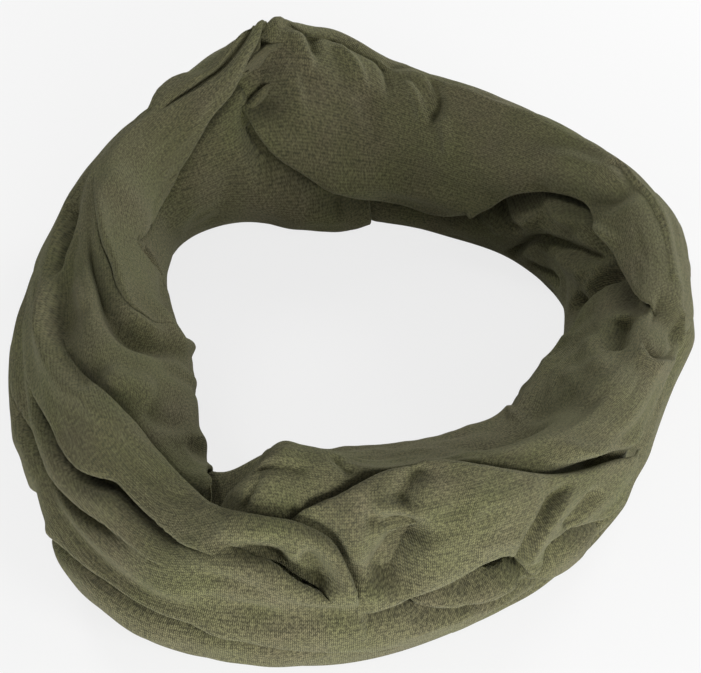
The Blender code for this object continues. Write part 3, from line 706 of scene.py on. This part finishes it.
def inside(plan, loop):
    """Which points of the plan lie inside a closed outline."""
    within = np.zeros(len(plan), bool)
    for start, end in zip(loop, np.roll(loop, -1, axis=0)):
        crosses = (start[1] > plan[:, 1]) != (end[1] > plan[:, 1])
        at = start[0] + (plan[:, 1] - start[1]) / (end[1] - start[1] or 1e-9) * (end[0] - start[0])
        within ^= crosses & (plan[:, 0] < at)
    return within


def cut_plan(runs, slits):
    """Points and triangles of a piece on the plan. A slit is cut open: its lower lip has its own points."""
    loop = outline_points(runs)
    low, high = loop.min(axis=0), loop.max(axis=0)
    over = np.arange(low[1], high[1], ROW_SPACING)
    around = np.arange(low[0], high[0], SPACING)
    grid = np.stack(np.meshgrid(around, over), axis=-1)
    grid[1::2, :, 0] += SPACING / 2
    grid = grid.reshape(-1, 2)
    lips = []
    for name, first, last in slits:
        cut = LAPS[name]["cut"]
        count = len(cut) - 1
        part = cut[round(first * count) : round(last * count) + 1]
        shift = round((loop[:, 0].mean() - part[:, 0].mean()) / WHOLE_TURN) * WHOLE_TURN
        lips.append(part + (shift, 0.0))
    grid = grid[inside(grid, loop)]
    keep = measure_from(np.concatenate((loop, loop[:1])), grid)[0] > EDGE_SPACING
    for part in lips:
        keep &= measure_from(part, grid)[0] > EDGE_SPACING
    grid = grid[keep]
    points = [Vector(point) for point in loop]
    edges = []
    for part in lips:
        first = len(points)
        points += [Vector(point) for point in part]
        edges += [(k, k + 1) for k in range(first, first + len(part) - 1)]
    points += [Vector(point) for point in grid]
    corners, _, faces, _, _, _ = delaunay_2d_cdt(points, edges, [list(range(len(loop)))], 1, 1e-3)
    plan = np.array([tuple(corner) for corner in corners])
    faces = np.array([face for face in faces if len(face) == 3])
    lower = np.zeros(len(plan), bool)
    for part, slit in zip(lips, slits):
        plan, faces, lower = open_slit(plan, faces, lower, part, LAPS[slit[0]]["sign"])
    used = np.unique(faces)
    renumbered = np.full(len(plan), -1)
    renumbered[used] = np.arange(len(used))
    return plan[used], renumbered[faces], lower[used]


def open_slit(plan, faces, lower, line, sign):
    """Gives the triangles on the under side of a slit their own points along it."""
    distance, _, along, _ = measure_from(line, plan)
    length = lengths_along(line)[-1]
    on_line = distance < SAME_PLACE
    ends = np.nonzero(on_line & ((along < SAME_PLACE) | (along > length - SAME_PLACE)))[0]
    middles = plan[faces].mean(axis=1)
    _, side, _, _ = measure_from(line, middles)
    touched = on_line[faces].any(axis=1) & (side * sign < 0)
    joined = [end for end in ends if goes_round(end, faces)]
    double = np.nonzero(on_line)[0]
    double = double[~np.isin(double, joined)]
    fresh = np.full(len(plan), -1)
    fresh[double] = len(plan) + np.arange(len(double))
    plan = np.concatenate((plan, plan[double]))
    lower = np.concatenate((lower, np.ones(len(double), bool)))
    faces = faces.copy()
    part = faces[touched]
    faces[touched] = np.where(fresh[part] >= 0, fresh[part], part)
    return plan, faces, lower


def goes_round(point, faces):
    """Whether triangles lie all the way round a point, so that it is inside its piece."""
    fan = faces[(faces == point).any(axis=1)]
    around = fan[fan != point]
    return len(around) == 2 * len(np.unique(around))


def lay_cloth(name, runs, laps, slits=(), lift=0.0):
    """A piece of jersey in its place on the ring, as a thin closed shell."""
    plan, faces, lower_lip = cut_plan(runs, slits)
    moved, drop, knit = roll_and_tuck(plan, laps, lower_lip)
    rise, tip = folds_on(name, moved)
    rise = rise + small_wrinkles(moved)
    angle = moved[:, 0] / PER_DEGREE
    girth = moved[:, 1] / PER_GIRTH
    footed = ease(girth / FOOT_EASE_IN) * ease((100.0 - girth) / FOOT_EASE_OUT)
    round_way, over_way, out_way = ways_on_ring(angle, girth)
    points = smooth_ring(angle, girth)
    points += out_way * (lift - drop + rise * footed)[:, None]
    points += (round_way * tip[:, :1] + over_way * tip[:, 1:]) * footed[:, None]
    points[:, 2] = np.maximum(points[:, 2], LOWEST)
    return cloth_object(name, (points - RING_MIDDLE) * METRE, faces, knit * METRE)


def cloth_object(name, points, faces, knit):
    """A closed shell of cloth on its outer face, with the knit's own lengths as its UV map."""
    mesh = bpy.data.meshes.new(name)
    mesh.from_pydata(points.tolist(), [], faces.tolist())
    mesh.flip_normals()
    mesh.update()
    layer = mesh.uv_layers.new(name="knit")
    corners = np.empty(len(mesh.loops), np.int32)
    mesh.loops.foreach_get("vertex_index", corners)
    layer.data.foreach_set("uv", knit[corners].astype(np.float32).ravel())
    mesh.shade_smooth()
    piece = bpy.data.objects.new(name, mesh)
    bpy.context.scene.collection.objects.link(piece)
    wall = piece.modifiers.new("wall", "SOLIDIFY")
    wall.thickness = CLOTH * METRE
    wall.offset = -1.0
    wall.use_rim = True
    return piece


def lay_core():
    """The folded layers inside the ring, which show only as darkness between the folds."""
    rings = []
    for girth in CORE_GIRTHS:
        at = np.full_like(CORE_ANGLES, girth)
        plan = np.stack((CORE_ANGLES * PER_DEGREE, at * PER_GIRTH), axis=-1)
        sunk = np.minimum(folds_on("folded_core", plan)[0], 0.0) - CORE_SINK
        rings.append(smooth_ring(CORE_ANGLES, at) + ways_on_ring(CORE_ANGLES, at)[2] * sunk[:, None])
    for ring in (rings[0], rings[-1]):
        ring[:, 2] = CORE_FOOT
    points = np.concatenate(rings)
    points[:, 2] = np.maximum(points[:, 2], CORE_FOOT)
    count = len(CORE_ANGLES)
    faces = []
    for ring in range(len(rings)):
        upper = (ring + 1) % len(rings)
        for k in range(count):
            ahead = (k + 1) % count
            faces.append((ring * count + k, upper * count + k, upper * count + ahead))
            faces.append((ring * count + k, upper * count + ahead, ring * count + ahead))
    round_lengths = np.tile(CORE_ANGLES * PER_DEGREE, len(rings))
    knit = np.stack((round_lengths, np.repeat(CORE_GIRTHS * PER_GIRTH, count)), axis=-1)
    return cloth_object("folded_core", (points - RING_MIDDLE) * METRE, np.array(faces)[:, ::-1], knit * METRE)


# ---- jersey

OLIVE = (0.122, 0.116, 0.054, 1.0)
OLIVE_GREEN = (0.150, 0.152, 0.064, 1.0)
OLIVE_BROWN = (0.158, 0.140, 0.078, 1.0)
STITCH_SHADE_DEPTH = 0.9    # how much darker the painted shade between the stitches makes the cloth
STITCH_SHADE = 0.8       # the most that this painted shade takes over
DEEP_PATCHES = 0.55      # the most that the olive takes over in the deep patches
WALE_SWAY = 0.001        # how far the wales wander from side to side, in metres
LEG_SLANT = 1.3          # how steeply the legs of the stitches slant
LEG_RELIEF = 0.6         # the share of a stitch's height that comes and goes along its legs
FLECK = 4.0              # how strongly the yarn's unevenness shows


def feed(tree, node, inputs):
    """Links or sets each of a node's sockets that is named."""
    for name, value in inputs.items():
        if isinstance(value, bpy.types.NodeSocket):
            tree.links.new(value, node.inputs[name])
        else:
            node.inputs[name].default_value = value


def new_node(tree, kind, inputs, **settings):
    """A shader node with its settings, and with a value or a link in each socket named."""
    node = tree.nodes.new("ShaderNode" + kind)
    for name, value in settings.items():
        setattr(node, name, value)
    feed(tree, node, inputs)
    return node


def math_node(tree, operation, *values, clamp=False):
    return new_node(tree, "Math", dict(enumerate(values)), operation=operation, use_clamp=clamp).outputs[0]


def node_group(name, numbers, outputs):
    """A shader node group of a vector and some numbers: its tree, what it is given, and its result."""
    tree = bpy.data.node_groups.new(name, "ShaderNodeTree")
    tree.interface.new_socket(name="Vector", in_out="INPUT", socket_type="NodeSocketVector")
    for socket, value in numbers.items():
        made = tree.interface.new_socket(name=socket, in_out="INPUT", socket_type="NodeSocketFloat")
        made.default_value = value
    for socket in outputs:
        tree.interface.new_socket(name=socket, in_out="OUTPUT", socket_type="NodeSocketFloat")
    given = tree.nodes.new("NodeGroupInput")
    result = tree.nodes.new("NodeGroupOutput")
    return tree, given.outputs, result


def knit_group():
    """Fine stocking stitch, wales of small slanting legs in courses: its height, and its lighter parts as a
    mask that paints shade low between the stitches and carries the yarn's own uneven tone.
    """
    sizes = {"Wale": 0.0011, "Course": 0.0009, "Unevenness": 0.9}
    tree, given, result = node_group("knit_stitches", sizes, ("Height", "Shade"))
    sway = new_node(tree, "TexNoise", {"Vector": given["Vector"], "Scale": 90.0, "Detail": 2.0})
    centred = new_node(
        tree, "VectorMath", {0: sway.outputs["Color"], 1: (0.5, 0.5, 0.5)}, operation="SUBTRACT",
    )
    swayed = new_node(
        tree, "VectorMath", {0: centred.outputs[0], 1: (WALE_SWAY, WALE_SWAY, 0.0), 2: given["Vector"]},
        operation="MULTIPLY_ADD",
    )
    split = new_node(tree, "SeparateXYZ", {0: swayed.outputs[0]})
    across = math_node(tree, "DIVIDE", split.outputs["X"], given["Wale"])
    down = math_node(tree, "DIVIDE", split.outputs["Y"], given["Course"])
    in_wale = math_node(tree, "SUBTRACT", math_node(tree, "FRACT", across), 0.5)
    from_middle = math_node(tree, "ABSOLUTE", in_wale)
    wale = math_node(tree, "SINE", math_node(tree, "MULTIPLY", from_middle, 2 * math.pi))
    slant = math_node(tree, "ADD", down, math_node(tree, "MULTIPLY", from_middle, LEG_SLANT))
    leg = math_node(tree, "SINE", math_node(tree, "MULTIPLY", slant, 2 * math.pi))
    leg = math_node(tree, "MULTIPLY_ADD", leg, 0.5, 0.5)
    relief = math_node(tree, "MULTIPLY_ADD", leg, LEG_RELIEF, 1 - LEG_RELIEF)
    height = math_node(tree, "MULTIPLY", wale, relief)
    yarn = new_node(
        tree, "TexNoise", {"Vector": given["Vector"], "Scale": 900.0, "Detail": 3.0, "Roughness": 0.7},
    )
    uneven = math_node(tree, "SUBTRACT", yarn.outputs["Fac"], 0.5)
    fleck = math_node(tree, "MULTIPLY", math_node(tree, "MULTIPLY", uneven, given["Unevenness"]), FLECK)
    # Shade is the stitch height, for painted shade where the knit lies low, plus the yarn's real random
    # unevenness
    feed(tree, result, {"Height": height, "Shade": math_node(tree, "ADD", height, fleck, clamp=True)})
    return tree


def mottle_group():
    """Soft uneven patches in the dye, as two masks."""
    tree, given, result = node_group("dye_patches", {"Patch Size": 0.03}, ("Warm", "Deep"))
    scale = math_node(tree, "DIVIDE", 1.0, given["Patch Size"])
    for output, factor, shift in (("Warm", 1.0, 0.0), ("Deep", 2.3, 7.0)):
        place = new_node(tree, "VectorMath", {0: given["Vector"], 1: (shift, shift, shift)}, operation="ADD")
        noise = new_node(
            tree, "TexNoise",
            {
                "Vector": place.outputs[0], "Scale": math_node(tree, "MULTIPLY", scale, factor),
                "Detail": 3.0, "Roughness": 0.55,
            },
        )
        spread = new_node(
            tree, "MapRange", {"Value": noise.outputs["Fac"], "From Min": 0.34, "From Max": 0.66},
        )
        feed(tree, result, {output: spread.outputs["Result"]})
    return tree


KNIT = knit_group()
MOTTLE = mottle_group()


def mix_colour(tree, share, first, second):
    return new_node(tree, "Mix", {0: share, 6: first, 7: second}, data_type="RGBA").outputs[2]


def jersey(name, olive, green, brown):
    """Olive jersey: dyed patches, knit stitches that catch the light with painted shade between them, and a
    soft nap.
    """
    material = bpy.data.materials.new(name)
    material.use_nodes = True
    tree = material.node_tree
    place = new_node(tree, "UVMap", {}, uv_map="knit")
    knit = new_node(tree, "Group", {"Vector": place.outputs[0]}, node_tree=KNIT)
    where = new_node(tree, "TexCoord", {})
    mottle = new_node(tree, "Group", {"Vector": where.outputs["Object"]}, node_tree=MOTTLE)
    warm = mix_colour(tree, mottle.outputs["Warm"], green, brown)
    base = mix_colour(tree, math_node(tree, "MULTIPLY", mottle.outputs["Deep"], DEEP_PATCHES), warm, olive)
    # the dark between the stitches is painted shade: the colour darkens wherever the knit lies low
    dark = tuple(channel * (1 - STITCH_SHADE_DEPTH) for channel in olive[:3]) + (1.0,)
    shade_between_stitches = math_node(tree, "SUBTRACT", 1.0, knit.outputs["Shade"])
    colour = mix_colour(tree, math_node(tree, "MULTIPLY", shade_between_stitches, STITCH_SHADE), base, dark)
    bump = new_node(
        tree, "Bump", {"Strength": 0.6, "Distance": 0.0006, "Height": knit.outputs["Height"]},
    )
    feed(tree, tree.nodes["Principled BSDF"], {
        "Base Color": colour,
        "Normal": bump.outputs["Normal"],
        "Roughness": 0.92,
        "Specular IOR Level": 0.25,
        "Sheen Weight": 0.22,
        "Sheen Roughness": 0.55,
        "Sheen Tint": (0.62, 0.62, 0.42, 1.0),
    })
    return material


# ---- the pieces

folded_core = lay_core()

far_and_right = lay_cloth(
    "far_and_right_cloth",
    (
        ((228, 1), (270, 1), (300, 1), (330, 1), (360, 1), (400, 1), (430, 1), (450, 1)),
        ((450, 1), (450, 12), (450.3, 19)),
        ("band_edge", 0.253, 0.0),
        ((476.5, 44), (474, 50), (470, 56), (467, 64), (464, 74), (461, 85)),
        ("back_edge", 0.04, 1.0),
        ((326, 71), (322, 73), (316, 72), (308, 68), (298, 63), (288, 60), (278, 60), (268, 64), (258, 66),
         (248, 67)),
        ((248, 67), (240, 60), (231, 52), (228, 1)),
    ),
    laps={
        "band_edge": "slit", "diagonal": "under", "back_edge": "over", "crown_top": "under",
        "lobe_end": "under", "long_edge": "under", "lower_layer_end": ("under", "band_edge"),
    },
    slits=(("band_edge", 0.253, 1.0),),
)

left_and_near = lay_cloth(
    "left_and_near_cloth",
    (
        ("lower_layer_end", 0.0, 1.0),
        ((83, 22), (86, 26), (94, 28.5), (102, 29.5), (109, 30.5), (112.5, 33), (113.5, 37), (113, 41)),
        ("diagonal", 0.46, 0.0),
        ("lower_edge", 0.0, 1.0),
        ((304, 98), (330, 98), (366, 98)),
        ((366, 98), (368, 84), (366, 72), (358, 70), (346, 68), (334, 68), (328, 68)),
        ((328, 70), (320, 75), (312, 74), (304, 73), (300, 75), (295, 71), (289, 71), (283, 73), (277, 74.5),
         (272.5, 75)),
        ("long_edge", 0.96, 0.57),
        ("lobe_end", 1.0, 0.0),
        ((236, 1), (200, 1), (160, 1), (120, 1), (88, 1)),
    ),
    laps={
        "flap_edge": "slit", "upper_long_fold": "slit", "lower_long_fold": "slit", "pocket_edge": "slit",
        "second_fold": "slit", "third_fold": "slit", "diagonal": "slit", "long_edge": "slit",
        "lower_edge": "over", "lobe_end": "over", "lower_layer_end": "over",
        "band_edge": ("under", "diagonal"), "crown_edge": ("under", "long_edge"), "back_edge": "under",
    },
    slits=(
        ("diagonal", 0.46, 1.0), ("long_edge", 0.0, 0.57), ("flap_edge", 0.0, 1.0),
        ("upper_long_fold", 0.0, 1.0), ("lower_long_fold", 0.0, 1.0), ("pocket_edge", 0.0, 1.0),
        ("second_fold", 0.0, 1.0), ("third_fold", 0.0, 1.0),
    ),
)

near_crown = lay_cloth(
    "crown_cloth",
    (
        ("crown_top", 0.0, 1.0),
        ("crown_edge", 1.0, 0.0),
        ((267, 73), (264, 68), (258, 65), (250, 63)),
    ),
    laps={"long_edge": "under", "crown_top": "over", "crown_edge": "over"},
    lift=1.6,
)

under_fold = lay_cloth(
    "under_fold_cloth",
    (
        ((208, 98), (208, 84), (216, 80), (226, 77), (240, 75), (256, 78), (272, 82), (286, 86), (304, 90)),
        ((304, 90), (308, 98)),
        ((308, 98), (280, 99), (240, 99), (208, 98)),
    ),
    laps={"lower_edge": "under"},
)

outer_back = lay_cloth(
    "outer_back_cloth",
    (
        ((212, 98), (212, 84), (190, 82), (150, 79), (110, 78), (76, 78), (40, 78), (14, 75), (4, 74)),
        ((4, 74), (0, 84), (0, 98)),
        ((0, 98), (60, 99), (120, 99), (212, 98)),
    ),
    laps={"lower_edge": "under", "back_edge": "under"},
    lift=-1.0,
)

# One row for each piece: the flat size of the cut that shows, in metres, and the nodes it stands for.
PIECES = (
    (folded_core, (0.66, 0.14), ("hidden_layers",)),
    (far_and_right, (0.45, 0.105), (
        "far_band", "far_right_inner", "right_inner_band", "near_back_ridge", "near_left_hump",
    )),
    (left_and_near, (0.50, 0.105), (
        "far_lower_layer", "left_inner_panel", "left_upper_band", "left_outer_band", "left_inner_lobe",
        "left_long_folds", "lower_right_folds",
    )),
    (near_crown, (0.13, 0.052), ("near_crown",)),
    (under_fold, (0.18, 0.040), ("under_fold",)),
    (outer_back, (0.40, 0.048), ("outer_back",)),
)

olive_jersey = jersey("olive_jersey", OLIVE, OLIVE_GREEN, OLIVE_BROWN)

for piece, flat, nodes in PIECES:
    piece.data.materials.append(olive_jersey)
    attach(piece, "root")
    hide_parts(*nodes)

# ---- floor, light and camera

STUDIO_WHITE = (0.955, 0.955, 0.955, 1.0)
FLOOR_COLOUR = (0.80, 0.80, 0.80, 1.0)
FLOOR_GLOW = 0.82        # how much of the floor's look is its own white, and not the light on it
FLOOR_HALF = 1.6         # half the floor's width, in metres
WORLD_LIGHT = 0.27       # light from all round
LAMP_AIM = Vector((0.0, 0.0, 0.03))
# One row for each lamp: its name, place, width and power, in metres and watts.
LAMPS = (
    ("front", (-0.06, -0.60, 0.13), 0.24, 3.0),
    ("right_front", (0.41, -0.41, 0.26), 0.24, 2.3),
    ("right_back", (0.41, 0.41, 0.26), 0.24, 2.3),
    ("left_back", (-0.35, 0.38, 0.42), 0.18, 1.4),
)
CAMERA_AIM = Vector((0.0, -2.0, 28.0)) - Vector(RING_MIDDLE)
CAMERA_FAR = 640.0
CAMERA_LENS = 88.0


def seen_directly(tree):
    """1 for what the camera sees straight, in a gloss or through glass, and 0 for light on things."""
    path = tree.nodes.new("ShaderNodeLightPath")
    either = math_node(tree, "MAXIMUM", path.outputs["Is Camera Ray"], path.outputs["Is Glossy Ray"])
    return math_node(tree, "MAXIMUM", either, path.outputs["Is Transmission Ray"])


def pale_floor_material():
    """A pale floor that looks nearly white, and still takes a soft shadow."""
    material = bpy.data.materials.new("pale_floor")
    material.use_nodes = True
    tree = material.node_tree
    shader = tree.nodes["Principled BSDF"]
    feed(tree, shader, {"Base Color": FLOOR_COLOUR, "Roughness": 1.0, "Specular IOR Level": 0.0})
    glow = new_node(tree, "Emission", {"Color": STUDIO_WHITE})
    share = math_node(tree, "MULTIPLY", seen_directly(tree), FLOOR_GLOW)
    mix = new_node(tree, "MixShader", {0: share, 1: shader.outputs[0], 2: glow.outputs[0]})
    tree.links.new(mix.outputs[0], tree.nodes["Material Output"].inputs["Surface"])
    return material


def lay_floor():
    mesh = bpy.data.meshes.new("floor")
    corners = [(x * FLOOR_HALF, y * FLOOR_HALF, 0) for x, y in ((-1, -1), (1, -1), (1, 1), (-1, 1))]
    mesh.from_pydata(corners, [], [(0, 1, 2, 3)])
    floor = bpy.data.objects.new("floor", mesh)
    bpy.context.scene.collection.objects.link(floor)
    mesh.materials.append(pale_floor_material())


def soft_lamp(name, place, size, power):
    data = bpy.data.lights.new(name, "AREA")
    data.shape = "DISK"
    data.size = size
    data.energy = power
    lamp = bpy.data.objects.new(name, data)
    lamp.location = place
    lamp.rotation_euler = (Vector(place) - LAMP_AIM).to_track_quat("Z", "Y").to_euler()
    bpy.context.scene.collection.objects.link(lamp)


def studio_world():
    world = bpy.data.worlds.new("studio")
    world.use_nodes = True
    tree = world.node_tree
    level = math_node(tree, "MULTIPLY_ADD", seen_directly(tree), 1.0 - WORLD_LIGHT, WORLD_LIGHT)
    feed(tree, tree.nodes["Background"], {"Color": STUDIO_WHITE, "Strength": level})
    bpy.context.scene.world = world


lay_floor()
studio_world()
for name, place, size, power in LAMPS:
    soft_lamp(name, place, size, power)

camera_data = bpy.data.cameras.new("camera")
camera_data.lens = CAMERA_LENS
camera_data.sensor_width = 36.0
camera = bpy.data.objects.new("camera", camera_data)
toward = Vector(VIEW_WAY)
camera.location = (CAMERA_AIM + toward * CAMERA_FAR) * METRE
camera.rotation_euler = toward.to_track_quat("Z", "Y").to_euler()
bpy.context.scene.collection.objects.link(camera)
bpy.context.scene.camera = camera
bpy.context.scene.view_settings.view_transform = "Standard"
